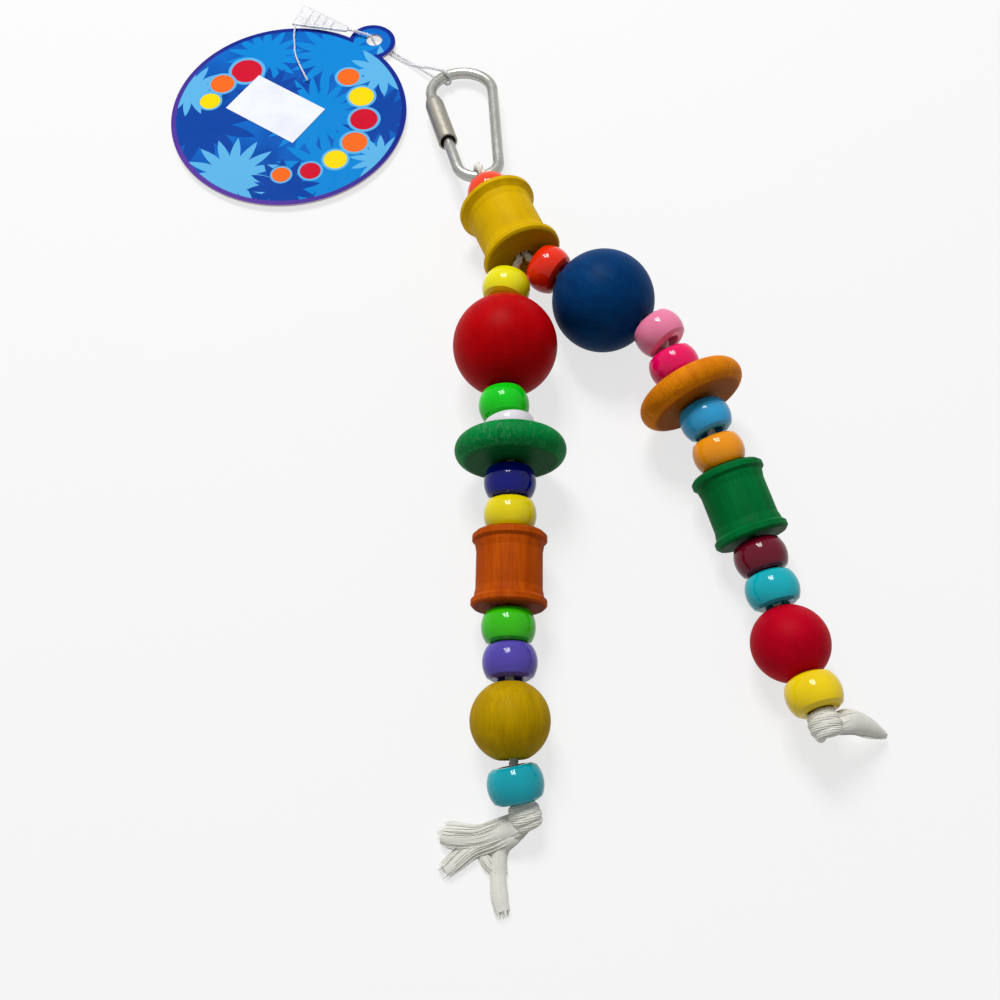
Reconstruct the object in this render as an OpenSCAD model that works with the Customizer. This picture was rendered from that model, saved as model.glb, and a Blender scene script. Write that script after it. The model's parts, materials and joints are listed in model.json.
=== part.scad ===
// A hanging toy for cage birds: a pear-shaped screw link, one cotton cord folded over its
// narrow end, and wooden and plastic beads threaded on the cord's two strings.
// It lies on a flat surface at z = 0, with the link towards +Y and the strings towards -Y.
// The origin is on that surface, under the middle of the link's eye.

/* [Link] */
// Diameter of the link's wire
wire_d = 2.3; // [2:0.1:2.5]
// Overall length of the link
link_l = 36.7; // [35:0.1:39]
// Overall width of the link across its eye
link_w = 15.6; // [14.6:0.2:17]
// Overall width of the link at its narrow end
link_low_w = 10.8; // [9.4:0.2:11.6]
// Gap in the wire that the sleeve closes
link_gap = 5.4; // [4:0.2:5.6]
// Length of the screw sleeve
sleeve_l = 13.8; // [12.8:0.2:14.6]
// Outer diameter of the screw sleeve
sleeve_d = 4; // [3.8:0.1:4.6]
// Diameter of the sleeve's open mouth
sleeve_mouth_d = 3.3; // [3:0.1:3.5]
// Direction of the link, in degrees from -Y towards +X
link_heading = 9.2; // [8:0.1:12]

/* [Beads] */
// Diameter of a pony bead
bead_d = 9; // [8.4:0.1:9.4]
// Length of a pony bead
bead_l = 5.6; // [5.2:0.1:6]
// Length of the thin white bead
thin_bead_l = 2.9; // [2.6:0.1:3.6]
// Hole through a pony bead
bead_hole = 4; // [3.8:0.1:4.4]

/* [Wooden pieces] */
// Hole through each wooden piece
wood_hole = 4; // [3.8:0.1:4.4]
// Diameter of a large ball
big_ball_d = 19; // [18.2:0.1:19.2]
// Diameter of a small ball
small_ball_d = 12.8; // [12:0.1:13.6]
// Diameter of a disc
disc_d = 19.4; // [18.4:0.2:20]
// Thickness of a disc
disc_t = 4.9; // [4.4:0.1:5.2]
// Rim diameter of the top spool
top_spool_d = 15.3; // [14.7:0.1:16]
// Length of the top spool
top_spool_l = 15; // [14.5:0.1:16]
// Waist diameter of the top spool
top_spool_waist = 12.8; // [11.8:0.2:13.2]
// Rim diameter of a small spool
small_spool_d = 12.7; // [12:0.1:13.4]
// Length of a small spool
small_spool_l = 12.9; // [12:0.1:13.6]
// Waist diameter of a small spool
small_spool_waist = 11.2; // [10.4:0.2:11.6]
// Thickness of each spool's rim
spool_rim = 1.8; // [1.4:0.1:2.2]

/* [Cord] */
// Diameter of the cotton cord
cord_d = 1.6; // [1.4:0.1:1.7]
// Diameter of the knot that ends each string
knot_d = 5.4; // [5:0.1:6]
// Direction of the top spool, in degrees from -Y towards +X
trunk_heading = 21.2; // [19:0.1:24]
// Slope of the top spool, whose lower rim is lifted off the surface
trunk_rise = 4.5; // [4:0.1:5]

/* [Tag] */
// Diameter of the round card
tag_d = 50.6; // [48:0.2:52]
// Thickness of the card
tag_t = 0.5; // [0.4:0.1:0.8]
// Diameter of the card's ear
ear_d = 10.4; // [9.6:0.2:11]
// Hole in the card's ear
ear_hole = 3.6; // [3.2:0.1:4]
// Length of the blank label on the card
label_l = 18.2; // [16:0.2:20]
// Width of the blank label on the card
label_w = 11.4; // [10:0.2:12]
// Thickness of the blank label
label_t = 0.12; // [0.1:0.02:0.2]

/* [Tie] */
// Diameter of the clear plastic tie
tie_d = 0.6; // [0.5:0.05:0.7]
// Distance from the link's wire to the hole in the card's ear
tie_l = 20.2; // [19:0.1:22]
// Length of the tie's flat grip
grip_l = 12.3; // [10:0.5:13]
// Width of the grip at its broad end
grip_w = 6.4; // [5:0.2:7]
// Width of the grip at its narrow end
grip_tip_w = 1.4; // [1.2:0.1:2]
// Thickness of the grip
grip_t = 0.9; // [0.8:0.1:1.2]

/* [Hidden] */
$fn = 64;

// Clearances: between pieces on a string, at a bend, at a sharp bend, at a sharp bend up,
// round a wire, and between cord ends
run_gap = 0.2;
flex_gap = 0.55;
sharp_gap = 0.9;
lift_gap = 1.2;
wire_gap = 0.25;
cord_gap = 0.4;
mouth_cord_gap = 1.2;

// Link: two bows joined by straight legs, the left one with the gap under the sleeve
wire_r = wire_d / 2;
link_top_r = (link_w - wire_d) / 2;
link_low_r = (link_low_w - wire_d) / 2;
link_c = link_l - (link_w + link_low_w) / 2;
link_lean = asin((link_top_r - link_low_r) / link_c);
leg_l = link_c * cos(link_lean);
// A leg is a hair thinner than its bow and starts inside it, so that the two close into one
leg_share = 0.985;
leg_root = wire_d * 0.02;
sleeve_start = 1.4;
sleeve_bore = wire_d + 2 * 0.12 * wire_d;
sleeve_mouth_l = 1.4;
sleeve_shoulder = 1.5;
stub_l = 2.6;
link_low_z = wire_r + tie_d + wire_gap;

// Share of a spool rim's thickness that its eased edges take
edge_share = 0.28;

// Cord pair: folded over the wire, tapered in to pass through the top bead side by side
cord_r = cord_d / 2;
pair_offset = cord_r + 0.06;
eye_r = wire_r + wire_gap + cord_r;
eye_taper = 45;
eye_leg = (eye_r * cos(eye_taper) - pair_offset) / sin(eye_taper);
eye_reach = eye_r * sin(eye_taper) + eye_leg * cos(eye_taper);
eye_end = eye_reach + cord_r * sin(eye_taper);
trunk_start = eye_end + cord_gap;
top_bead_at = eye_reach + run_gap + bead_l / 2;
top_spool_at = top_bead_at + bead_l / 2 + run_gap + top_spool_l / 2;
mouth_at = top_spool_at + top_spool_l / 2;

// The top spool rests on the rim nearest to the link, and lifts the link's low bow, so that the
// link lies on the end of its wide bow, with the tie's thickness under the wire
top_rim_at = top_spool_at - top_spool_l / 2 + spool_rim * edge_share;
bow_reach = link_c + link_low_r;
bow_z = top_spool_d / 2 * cos(trunk_rise) - top_rim_at * sin(trunk_rise);
link_rise = asin((bow_z - link_low_z) / (bow_reach + link_top_r));
link_rest_z = link_low_z + link_top_r * sin(link_rise);

function turn_x(p, a) = [p.x, p.y * cos(a) - p.z * sin(a), p.y * sin(a) + p.z * cos(a)];
function turn_z(p, a) = [p.x * cos(a) - p.y * sin(a), p.x * sin(a) + p.y * cos(a), p.z];
function on_link(p) = turn_z(turn_x(p, -link_rise), link_heading) + [0, 0, link_rest_z];
function unit(v) = v / norm(v);
function mix(a, b, share) = a + (b - a) * share;

bow = on_link([0, -bow_reach, 0]);
along = turn_z(turn_x([0, -1, 0], -trunk_rise), trunk_heading);
across = turn_z([1, 0, 0], trunk_heading);
up = [0, 0, 1];
trunk_up = cross(along, across);
mouth = bow + along * mouth_at;

// Strings: half length, resting height and end-face radius of each kind of piece
bead_r = bead_d / 2;
bead_half = bead_l / 2;
thin_half = thin_bead_l / 2;
bead_rim = sqrt(bead_r * bead_r - bead_half * bead_half);
ball_flat_r = wood_hole / 2 + 0.35;
big_half = sqrt(pow(big_ball_d / 2, 2) - ball_flat_r * ball_flat_r);
small_half = sqrt(pow(small_ball_d / 2, 2) - ball_flat_r * ball_flat_r);
disc_half = disc_t / 2;
spool_half = small_spool_l / 2;
knot_r = knot_d / 2;
knot_half = sqrt(knot_r * knot_r - pow(bead_hole / 2, 2));
big_z = big_ball_d / 2;
small_z = small_ball_d / 2;
disc_z = disc_d / 2;
// A small spool leans a little between its neighbours and lies on the edge of one rim
spool_z = small_spool_d / 2 * 1.075;

// Each string runs from the spool's mouth to its knot. A height that isn't given is
// filled in between the pieces on either side that rest on the surface.
left_mouth_gap = 4.66;
left_halves = [
    0, bead_half, big_half, bead_half, thin_half, disc_half, bead_half, bead_half,
    spool_half, bead_half, bead_half, small_half, bead_half, knot_half
];
left_knot_z = knot_r * 1.25;
left_rests = [
    mouth.z, undef, big_z, undef, undef, disc_z, undef, undef,
    spool_z, undef, undef, small_z, bead_r, left_knot_z
];
left_rims = [
    0, bead_rim, 0, bead_rim, bead_rim, bead_rim, bead_rim, bead_rim,
    bead_rim, bead_rim, bead_rim, 0, bead_rim, 0
];
left_gaps = [
    left_mouth_gap, sharp_gap, flex_gap, run_gap, run_gap, run_gap, run_gap, run_gap,
    run_gap, run_gap, flex_gap, sharp_gap, flex_gap
];
left_headings = [-20, -1, -1, 12, 2, -1, 0, -1, -1, 2, 0, 5, 18];

right_mouth_gap = 2.16;
right_halves = [
    0, bead_half, big_half, bead_half, bead_half, disc_half, bead_half, bead_half,
    spool_half, bead_half, bead_half, small_half, bead_half, knot_half
];
// The bead after the large ball, the one after the disc and the last one are drawn up, and
// the last one holds its knot off the surface
ball_bead_z = 12;
disc_bead_z = 10.2;
tip_bead_z = 8.6;
tip_knot_z = 9;
right_rests = [
    mouth.z, undef, big_z, ball_bead_z, undef, disc_z, disc_bead_z, undef,
    spool_z, undef, undef, small_z, tip_bead_z, tip_knot_z
];
right_rims = left_rims;
right_gaps = [
    right_mouth_gap, flex_gap, lift_gap, run_gap, run_gap, run_gap, run_gap, run_gap,
    run_gap, run_gap, flex_gap, flex_gap, flex_gap
];
right_headings = [51, 53, 47, 22, 28, 21, 19, 19, 16, 13, 12, 13, 12];

function total(v, n) = n == 0 ? 0 : total(v, n - 1) + v[n - 1];
function grounded(rests, i, side) = is_undef(rests[i]) ? grounded(rests, i + side, side) : i;
function plain_spans(halves, gaps) = [for (i = [0:len(gaps) - 1]) halves[i] + halves[i + 1] + gaps[i]];
function heights(rests, spans) = [
    for (i = [0:len(rests) - 1])
        let (a = grounded(rests, i, -1), b = grounded(rests, i, 1))
            a == b ? rests[i]
            : mix(rests[a], rests[b], (total(spans, i) - total(spans, a)) / (total(spans, b) - total(spans, a)))
];
function pitches(zs, spans) = [for (i = [0:len(spans) - 1]) asin((zs[i + 1] - zs[i]) / spans[i])];
function turn_at(headings, tilts, i) =
    norm([headings[i + 1] - headings[i - 1], tilts[i + 1] - tilts[i - 1]]) / 2;
function bent_spans(spans, rims, headings, tilts) = [
    for (i = [0:len(spans) - 1])
        i == 0 || i == len(spans) - 1 ? spans[i]
        : spans[i] + min(rims[i], rims[i + 1]) * sin(turn_at(headings, tilts, i))
];
function step_to(from, heading, span, z) =
    let (rise = z - from.z, run = sqrt(span * span - rise * rise))
        from + [run * sin(heading), -run * cos(heading), rise];
function chain(start, spans, headings, zs, i) =
    i == 0 ? start : step_to(chain(start, spans, headings, zs, i - 1), headings[i - 1], spans[i - 1], zs[i]);
function string_points(start, halves, rests, rims, gaps, headings) =
    let (
        plain = plain_spans(halves, gaps),
        tilts = pitches(heights(rests, plain), plain),
        spans = bent_spans(plain, rims, headings, tilts),
        zs = heights(rests, spans)
    )
        [for (i = [0:len(halves) - 1]) chain(start, spans, headings, zs, i)];

left_points = string_points(
    mouth - across * pair_offset, left_halves, left_rests, left_rims, left_gaps, left_headings
);
right_points = string_points(
    mouth + across * pair_offset, right_halves, right_rests, right_rims, right_gaps, right_headings
);

function axis_at(points, i) = unit(unit(points[i + 1] - points[i]) + unit(points[i] - points[i - 1]));
function joint_at(points, halves, i) =
    let (way = unit(points[i + 1] - points[i]), space = norm(points[i + 1] - points[i]) - halves[i] - halves[i + 1])
        points[i] + way * (halves[i] + space / 2);

// The joints of each string: after the first bead, round the large ball and round the small ball
joint_after = [1, 2, 10, 11];

// A tube swept along a path, with one radius for each of its points
tube_sides = 8;
function tangent(path, i) = unit(path[min(i + 1, len(path) - 1)] - path[max(i - 1, 0)]);
function ring(path, i, r) =
    let (t = tangent(path, i), s = unit(cross(t, abs(t.z) > 0.9 ? across : up)), n = cross(s, t))
        [for (k = [0:tube_sides - 1]) path[i] + r * (s * cos(360 * k / tube_sides) + n * sin(360 * k / tube_sides))];

module tube(path, radii) {
    count = len(path);
    last = (count - 1) * tube_sides;
    polyhedron(
        points = [for (i = [0:count - 1]) each ring(path, i, radii[i])],
        faces = concat(
            [for (k = [1:tube_sides - 2]) [0, k + 1, k]],
            [
                for (i = [0:count - 2], k = [0:tube_sides - 1], half = [0, 1])
                    let (a = i * tube_sides + k, b = i * tube_sides + (k + 1) % tube_sides)
                        half == 0 ? [a, b, b + tube_sides] : [a, b + tube_sides, a + tube_sides]
            ],
            [for (k = [1:tube_sides - 2]) [last, last + k, last + k + 1]]
        )
    );
}

module cord(path) {
    tube(path, [for (p = path) cord_r]);
}

// Places a piece drawn along Z at a point, with its axis along a direction
module set_on(p, a) {
    translate(p)
        rotate([0, acos(a.z), atan2(a.y, a.x)])
            children();
}

module on_left(i) {
    set_on(left_points[i], axis_at(left_points, i)) children();
}

module on_right(i) {
    set_on(right_points[i], axis_at(right_points, i)) children();
}

// Draws in the link's own plane, with its eye's middle at the origin
module in_link() {
    translate([0, 0, link_rest_z])
        rotate([0, 0, link_heading])
            rotate([-link_rise, 0, 0])
                children();
}

// Draws in the frame of the folded cord, whose pair of strings leaves along -Y
module in_trunk() {
    translate(bow)
        rotate([-trunk_rise, 0, trunk_heading])
            children();
}

module link_leg(side, from, to) {
    translate([side * link_top_r * cos(link_lean), -link_top_r * sin(link_lean), 0])
        rotate([90, 0, -side * link_lean])
            translate([0, 0, from])
                cylinder(h = to - from, r = wire_r * leg_share);
}

module link_wire() {
    color("#9b9b94")
        in_link()
            union() {
                rotate([0, 0, -link_lean])
                    rotate_extrude(angle = 180 + 2 * link_lean)
                        translate([link_top_r, 0])
                            circle(r = wire_r);
                translate([0, -link_c, 0])
                    rotate([0, 0, 180 + link_lean])
                        rotate_extrude(angle = 180 - 2 * link_lean)
                            translate([link_low_r, 0])
                                circle(r = wire_r);
                link_leg(1, -leg_root, leg_l + leg_root);
                link_leg(-1, -leg_root, stub_l);
                link_leg(-1, stub_l + link_gap, leg_l + leg_root);
            }
}

module link_sleeve() {
    color("#8c887d")
        in_link()
            translate([-link_top_r * cos(link_lean), -link_top_r * sin(link_lean), 0])
                rotate([90, 0, link_lean])
                    translate([0, 0, sleeve_start])
                        rotate_extrude()
                            polygon([
                                [sleeve_bore / 2, 0],
                                [mix(sleeve_bore, sleeve_d, 0.4) / 2, 0],
                                [sleeve_d / 2, sleeve_shoulder],
                                [sleeve_d / 2, sleeve_l],
                                [sleeve_mouth_d / 2, sleeve_l],
                                [sleeve_bore / 2, sleeve_l - sleeve_mouth_l]
                            ]);
}

module cord_eye() {
    color("#bebeb2")
        in_trunk()
            union() {
                rotate([0, 90, 0])
                    rotate([0, 0, -eye_taper])
                        rotate_extrude(angle = 180 + 2 * eye_taper)
                            translate([eye_r, 0])
                                circle(r = cord_r);
                for (side = [-1, 1])
                    translate([0, -eye_r * sin(eye_taper), side * eye_r * cos(eye_taper)])
                        rotate([90 + side * eye_taper, 0, 0])
                            translate([0, 0, -leg_root])
                                cylinder(h = eye_leg + leg_root, r = cord_r * leg_share);
            }
}

// The pair turns a quarter on its way, from one above the other to side by side
trunk_steps = 10;
function pair_path(side) = [
    for (i = [0:trunk_steps])
        let (share = i / trunk_steps, turn = 90 * (1 - share))
            bow + along * mix(trunk_start, mouth_at - cord_gap / 2, share)
                + side * pair_offset * (across * cos(turn) + trunk_up * sin(turn))
];

module trunk_cord() {
    color("#bebeb2") {
        cord(pair_path(-1));
        cord(pair_path(1));
    }
}

// A ball cut flat at both ends, with eased edges and a hole through it
module holed_ball(d, half, hole, ease) {
    rim = sqrt(d * d / 4 - half * half);
    shoulder = sqrt(d * d / 4 - pow(half - ease, 2));
    side = [
        [hole / 2, half - ease * ease_share],
        [hole / 2 + ease * ease_share, half],
        [rim - ease, half],
        [shoulder, half - ease],
        [d, half - ease]
    ];
    intersection() {
        sphere(d = d);
        rotate_extrude()
            polygon(concat(side, [for (i = [len(side) - 1:-1:0]) [side[i].x, -side[i].y]]));
    }
}

bead_ease = 0.4;
wood_ease = 0.15;
ease_share = 0.6;

module pony_bead(l) {
    holed_ball(bead_d, l / 2, bead_hole, bead_ease);
}

module wooden_ball(d, half) {
    holed_ball(d, half, wood_hole, wood_ease);
}

module wooden_disc() {
    rotate_extrude()
        polygon(concat(
            [[wood_hole / 2, -disc_half]],
            [for (a = [-90:11.25:90]) [disc_d / 2 - disc_half + disc_half * cos(a), disc_half * sin(a)]],
            [[wood_hole / 2, disc_half]]
        ));
}

// Half of a spool's outline, from its end to its waist
function spool_half_outline(d, l, waist) = [
    [d / 2 - spool_rim * edge_share, l / 2],
    [d / 2, l / 2 - spool_rim * edge_share],
    [d / 2, l / 2 - spool_rim * (1 - edge_share)],
    [d / 2 - spool_rim * edge_share, l / 2 - spool_rim],
    [mix(waist, d, 0.25) / 2, l / 2 - spool_rim * (1 + edge_share)],
    [waist / 2, l / 4]
];

module wooden_spool(d, l, waist) {
    half = spool_half_outline(d, l, waist);
    rotate_extrude()
        polygon(concat(
            [[wood_hole / 2, l / 2]],
            half,
            [for (i = [len(half) - 1:-1:0]) [half[i].x, -half[i].y]],
            [[wood_hole / 2, -l / 2]]
        ));
}

module top_bead() {
    color("#f05028")
        set_on(bow + along * top_bead_at, along)
            pony_bead(bead_l);
}

module top_spool() {
    color("#c8a200")
        set_on(bow + along * top_spool_at, along)
            wooden_spool(top_spool_d, top_spool_l, top_spool_waist);
}

module left_yellow_bead() {
    color("#e4d808") on_left(1) pony_bead(bead_l);
}

module left_red_ball() {
    color("#b20004") on_left(2) wooden_ball(big_ball_d, big_half);
}

module left_green_bead() {
    color("#00b914") on_left(3) pony_bead(bead_l);
}

module left_white_bead() {
    color("#e8e2ec") on_left(4) pony_bead(thin_bead_l);
}

module left_green_disc() {
    color("#008c3c") on_left(5) wooden_disc();
}

module left_navy_bead() {
    color("#00056e") on_left(6) pony_bead(bead_l);
}

module left_gold_bead() {
    color("#d7be00") on_left(7) pony_bead(bead_l);
}

module left_brown_spool() {
    color("#a04100") on_left(8) wooden_spool(small_spool_d, small_spool_l, small_spool_waist);
}

module left_lime_bead() {
    color("#2da505") on_left(9) pony_bead(bead_l);
}

module left_purple_bead() {
    color("#463c96") on_left(10) pony_bead(bead_l);
}

module left_olive_ball() {
    color("#967800") on_left(11) wooden_ball(small_ball_d, small_half);
}

module left_turquoise_bead() {
    color("#0091a0") on_left(12) pony_bead(bead_l);
}

module right_scarlet_bead() {
    color("#e12d0a") on_right(1) pony_bead(bead_l);
}

module right_blue_ball() {
    color("#00286e") on_right(2) wooden_ball(big_ball_d, big_half);
}

module right_pink_bead() {
    color("#ee7da0") on_right(3) pony_bead(bead_l);
}

module right_magenta_bead() {
    color("#f0005f") on_right(4) pony_bead(bead_l);
}

module right_orange_disc() {
    color("#dc7d0f") on_right(5) wooden_disc();
}

module right_sky_bead() {
    color("#1e96c8") on_right(6) pony_bead(bead_l);
}

module right_orange_bead() {
    color("#ff9605") on_right(7) pony_bead(bead_l);
}

module right_green_spool() {
    color("#005f2d") on_right(8) wooden_spool(small_spool_d, small_spool_l, small_spool_waist);
}

module right_maroon_bead() {
    color("#550519") on_right(9) pony_bead(bead_l);
}

module right_teal_bead() {
    color("#00a5b2") on_right(10) pony_bead(bead_l);
}

module right_red_ball() {
    color("#af0019") on_right(11) wooden_ball(small_ball_d, small_half);
}

module right_yellow_bead() {
    color("#e8c805") on_right(12) pony_bead(bead_l);
}

// A string's cord lies in stretches that meet at its joints: from piece a to piece b, each
// end drawn back from its joint by half the gap between cord ends
function cord_path(points, halves, a, b) =
    let (
        first = a == 0 ? points[0] : joint_at(points, halves, a),
        first_gap = a == 0 ? mouth_cord_gap : cord_gap / 2,
        last = joint_at(points, halves, b),
        inner = [for (i = [a + 1:1:b]) points[i]]
    )
        concat(
            [first + unit(inner[0] - first) * first_gap],
            inner,
            [last + unit(inner[len(inner) - 1] - last) * cord_gap / 2]
        );

module left_cord(a, b) {
    color("#bebeb2") cord(cord_path(left_points, left_halves, a, b));
}

module right_cord(a, b) {
    color("#bebeb2") cord(cord_path(right_points, right_halves, a, b));
}

module left_cord_top() { left_cord(0, joint_after[0]); }
module left_cord_ball() { left_cord(joint_after[0], joint_after[1]); }
module left_cord_middle() { left_cord(joint_after[1], joint_after[2]); }
module left_cord_low() { left_cord(joint_after[2], joint_after[3]); }
module right_cord_top() { right_cord(0, joint_after[0]); }
module right_cord_ball() { right_cord(joint_after[0], joint_after[1]); }
module right_cord_middle() { right_cord(joint_after[1], joint_after[2]); }
module right_cord_low() { right_cord(joint_after[2], joint_after[3]); }

// The last stretch runs through the last bead and ends at the face of the knot
tail_gap = 0.05;
function tip_path(points, halves) =
    let (
        first = joint_at(points, halves, joint_after[3]),
        bead = points[12],
        knot = points[13]
    )
        [
            first + unit(bead - first) * cord_gap / 2,
            bead,
            knot + unit(bead - knot) * (knot_r + tail_gap)
        ];

module left_cord_tip() {
    color("#bebeb2") cord(tip_path(left_points, left_halves));
}

module right_cord_tip() {
    color("#bebeb2") cord(tip_path(right_points, right_halves));
}

// Frayed ends: each tail is a row of places from the knot's middle, in knot diameters along
// X and Y, with the tail's radius there in cord radii. The left tails rest on the surface. The
// right tuft falls to it from its lifted knot, by the last number, a share of the knot's height.
left_tail_shares = [
    [[-0.25, -0.32, 1.0], [-0.85, -0.42, 1.1], [-1.55, -0.5, 1.25], [-2.3, -0.35, 0.95], [-2.55, -0.15, 0.4]],
    [[-1.55, -0.45, 1.1], [-2.05, -0.95, 0.9], [-2.45, -1.35, 0.55]],
    [[-0.85, -0.35, 0.95], [-0.8, -1.1, 0.85], [-0.75, -1.9, 0.7], [-0.65, -2.5, 0.45]],
    [[-1.3, -0.6, 0.7], [-0.95, -1.15, 0.6]]
];
right_tail_shares = [
    [
        [0.35, 0.25, 1.1, 0.95], [0.75, 0.42, 1.35, 0.9], [1.25, 0.38, 1.3, 0.7],
        [1.75, 0.25, 0.9, 0.4], [2.2, 0.08, 0.35, 0.1]
    ],
    [[0.35, 0, 1, 0.8], [0.9, 0.1, 1.15, 0.75], [1.45, 0.05, 1, 0.5], [2, -0.02, 0.5, 0.15]]
];
tail_fn = 10;
tail_lie_share = 0.8;

module tail_bulb(knot, place) {
    r = place[2] * cord_r;
    lift = is_undef(place[3]) ? 0 : place[3] * (knot.z - knot_r);
    translate([knot.x + place.x * knot_d, knot.y + place.y * knot_d, r * tail_lie_share + lift])
        sphere(r = r, $fn = tail_fn);
}

module tails(knot, shares) {
    for (tail = shares, i = [0:len(tail) - 2])
        hull() {
            tail_bulb(knot, tail[i]);
            tail_bulb(knot, tail[i + 1]);
        }
}

// The knot is two lumps of wound cord, one over the other, and its tails spread from it
module knot(p, way, shares) {
    color("#bebeb2")
        intersection() {
            union() {
                hull() {
                    translate(p) sphere(r = knot_r, $fn = 20);
                    translate(p + way * knot_r * 0.35) sphere(r = knot_r * 0.95, $fn = 20);
                }
                tails(p + way * knot_r * 0.35, shares);
                hull() {
                    translate(p + way * knot_r * 0.6) sphere(r = knot_r * 0.8, $fn = 16);
                    tail_bulb(p + way * knot_r * 0.35, shares[0][0]);
                }
            }
            translate([p.x, p.y, link_l / 2])
                cube([2 * link_l, 2 * link_l, link_l], center = true);
        }
}

module left_knot() {
    knot(left_points[13], unit(left_points[13] - left_points[12]), left_tail_shares);
}

module right_knot() {
    knot(right_points[13], unit(right_points[13] - right_points[12]), right_tail_shares);
}

// Tag: a round card with an ear, on a tie that loops round the link's bow
tie_r = tie_d / 2;
tie_at = 117;
tie_heading = 142.9;
tag_turn = 51.5;
tag_rest_z = tie_d + wire_gap;
ear_reach_share = 0.533;
hole_reach_share = 0.547;
tie_root = on_link([link_top_r * cos(tie_at), link_top_r * sin(tie_at), 0]);
tie_way = [cos(tie_heading), sin(tie_heading), 0];
ear_hole_at = [tie_root.x, tie_root.y, 0] + tie_way * tie_l;
tag_way = [cos(tag_turn), sin(tag_turn), 0];
tag_middle = ear_hole_at - tag_way * tag_d * hole_reach_share;
neck_share = 0.8;

module tag_outline() {
    circle(d = tag_d);
    translate([tag_d * ear_reach_share, 0]) circle(d = ear_d);
    translate([tag_d * ear_reach_share / 2, 0])
        square([tag_d * ear_reach_share, ear_d * neck_share], center = true);
}

module tag_card() {
    color("#0064c8")
        translate([tag_middle.x, tag_middle.y, tag_rest_z])
            rotate([0, 0, tag_turn])
                linear_extrude(height = tag_t)
                    difference() {
                        tag_outline();
                        translate([tag_d * hole_reach_share, 0]) circle(d = ear_hole);
                    }
}

label_turn = -33;
label_place_shares = [-0.06, 0.02];

module tag_label() {
    color("#dee2ee")
        translate([
            tag_middle.x + tag_d * label_place_shares.x,
            tag_middle.y + tag_d * label_place_shares.y,
            tag_rest_z + tag_t
        ])
            rotate([0, 0, label_turn])
                linear_extrude(height = label_t)
                    square([label_l, label_w], center = true);
}

// The tie's route: from under the card to the link, round its wire and back under the
// card, then up through the hole in the ear to the grip
tie_loop_r = wire_r + wire_gap + tie_r;
tie_side = [-tie_way.y, tie_way.x, 0];
tie_under_z = tie_r + 0.02 * tie_d;
tie_over_z = tag_rest_z + tag_t + wire_gap + grip_t / 2;
tie_bend_shares = [0.2, 0.45, 0.68];
loop_steps = 6;
grip_tip = ear_hole_at + [0, 0, tie_over_z] + tie_way * ear_hole * 1.75 + tie_side * ear_hole * 0.47;
grip_way = unit(tie_way + tie_side * 0.28);
grip_side = [-grip_way.y, grip_way.x, 0];

function tie_place(share, side, z) =
    [tie_root.x, tie_root.y, z] + tie_way * tie_l * share + tie_side * side * tie_d * 0.7;
function tie_path() = concat(
    [tie_place(0.93, -1, tie_under_z), tie_place(tie_bend_shares[2], -1, tie_under_z)],
    [tie_place(tie_bend_shares[0], -0.5, tie_under_z)],
    [
        for (i = [0:loop_steps])
            let (a = -90 - 180 * i / loop_steps)
                tie_root + (tie_way * cos(a) + up * sin(a)) * tie_loop_r
    ],
    [
        tie_place(tie_bend_shares[0], 0.5, mix(tie_root.z + tie_loop_r, tie_under_z, 0.35)),
        tie_place(tie_bend_shares[1], 0.8, tie_under_z + tie_d / 2),
        tie_place(tie_bend_shares[2], 1, tie_under_z),
        tie_place(0.93, 1, tie_under_z),
        tie_place(1, 0.6, tag_rest_z + tag_t / 2),
        tie_place(1.06, 0.4, tie_over_z),
        grip_tip
    ]
);

module tag_tie() {
    path = tie_path();
    color("#e1e1e8") tube(path, [for (p = path) tie_r]);
}

// The cut end of the tie springs back from the grip's broad end and lies over the card: each
// place in grip lengths along the grip, grip widths beside it, and its share of the drop
tie_tail_thin = 0.7;
tie_tail_low_z = tag_rest_z + tag_t + wire_gap + tie_r * tie_tail_thin;
tie_tail_shares = [
    [0.93, 0.485, 0], [0.89, 0.75, 0.2], [0.772, 1.213, 0.6], [0.566, 1.858, 0.1], [0.146, 2.667, 0.8]
];

function tie_tail_path() = [
    for (place = tie_tail_shares)
        [grip_tip.x, grip_tip.y, mix(grip_tip.z, tie_tail_low_z, place.z)]
            + grip_way * grip_l * place.x + grip_side * grip_w * place.y
];

module tie_tail() {
    path = tie_tail_path();
    color("#e1e1e8") tube(path, [for (p = path) tie_r * tie_tail_thin]);
}

module tie_grip() {
    color("#e1e1e8")
        translate(grip_tip - up * grip_t / 2)
            rotate([0, 0, atan2(grip_way.y, grip_way.x)])
                linear_extrude(height = grip_t)
                    polygon([
                        [0, -grip_tip_w / 2],
                        [grip_l, -grip_w / 2],
                        [grip_l, grip_w / 2],
                        [0, grip_tip_w / 2]
                    ]);
}

link_wire();
link_sleeve();
cord_eye();
trunk_cord();
top_bead();
top_spool();
left_yellow_bead();
left_red_ball();
left_green_bead();
left_white_bead();
left_green_disc();
left_navy_bead();
left_gold_bead();
left_brown_spool();
left_lime_bead();
left_purple_bead();
left_olive_ball();
left_turquoise_bead();
right_scarlet_bead();
right_blue_ball();
right_pink_bead();
right_magenta_bead();
right_orange_disc();
right_sky_bead();
right_orange_bead();
right_green_spool();
right_maroon_bead();
right_teal_bead();
right_red_ball();
right_yellow_bead();
left_cord_top();
left_cord_ball();
left_cord_middle();
left_cord_low();
left_cord_tip();
left_knot();
right_cord_top();
right_cord_ball();
right_cord_middle();
right_cord_low();
right_cord_tip();
right_knot();
tag_card();
tag_label();
tag_tie();
tie_grip();
tie_tail();
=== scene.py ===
import json
import math

import bmesh
import bpy
from mathutils import Matrix, Vector


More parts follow.
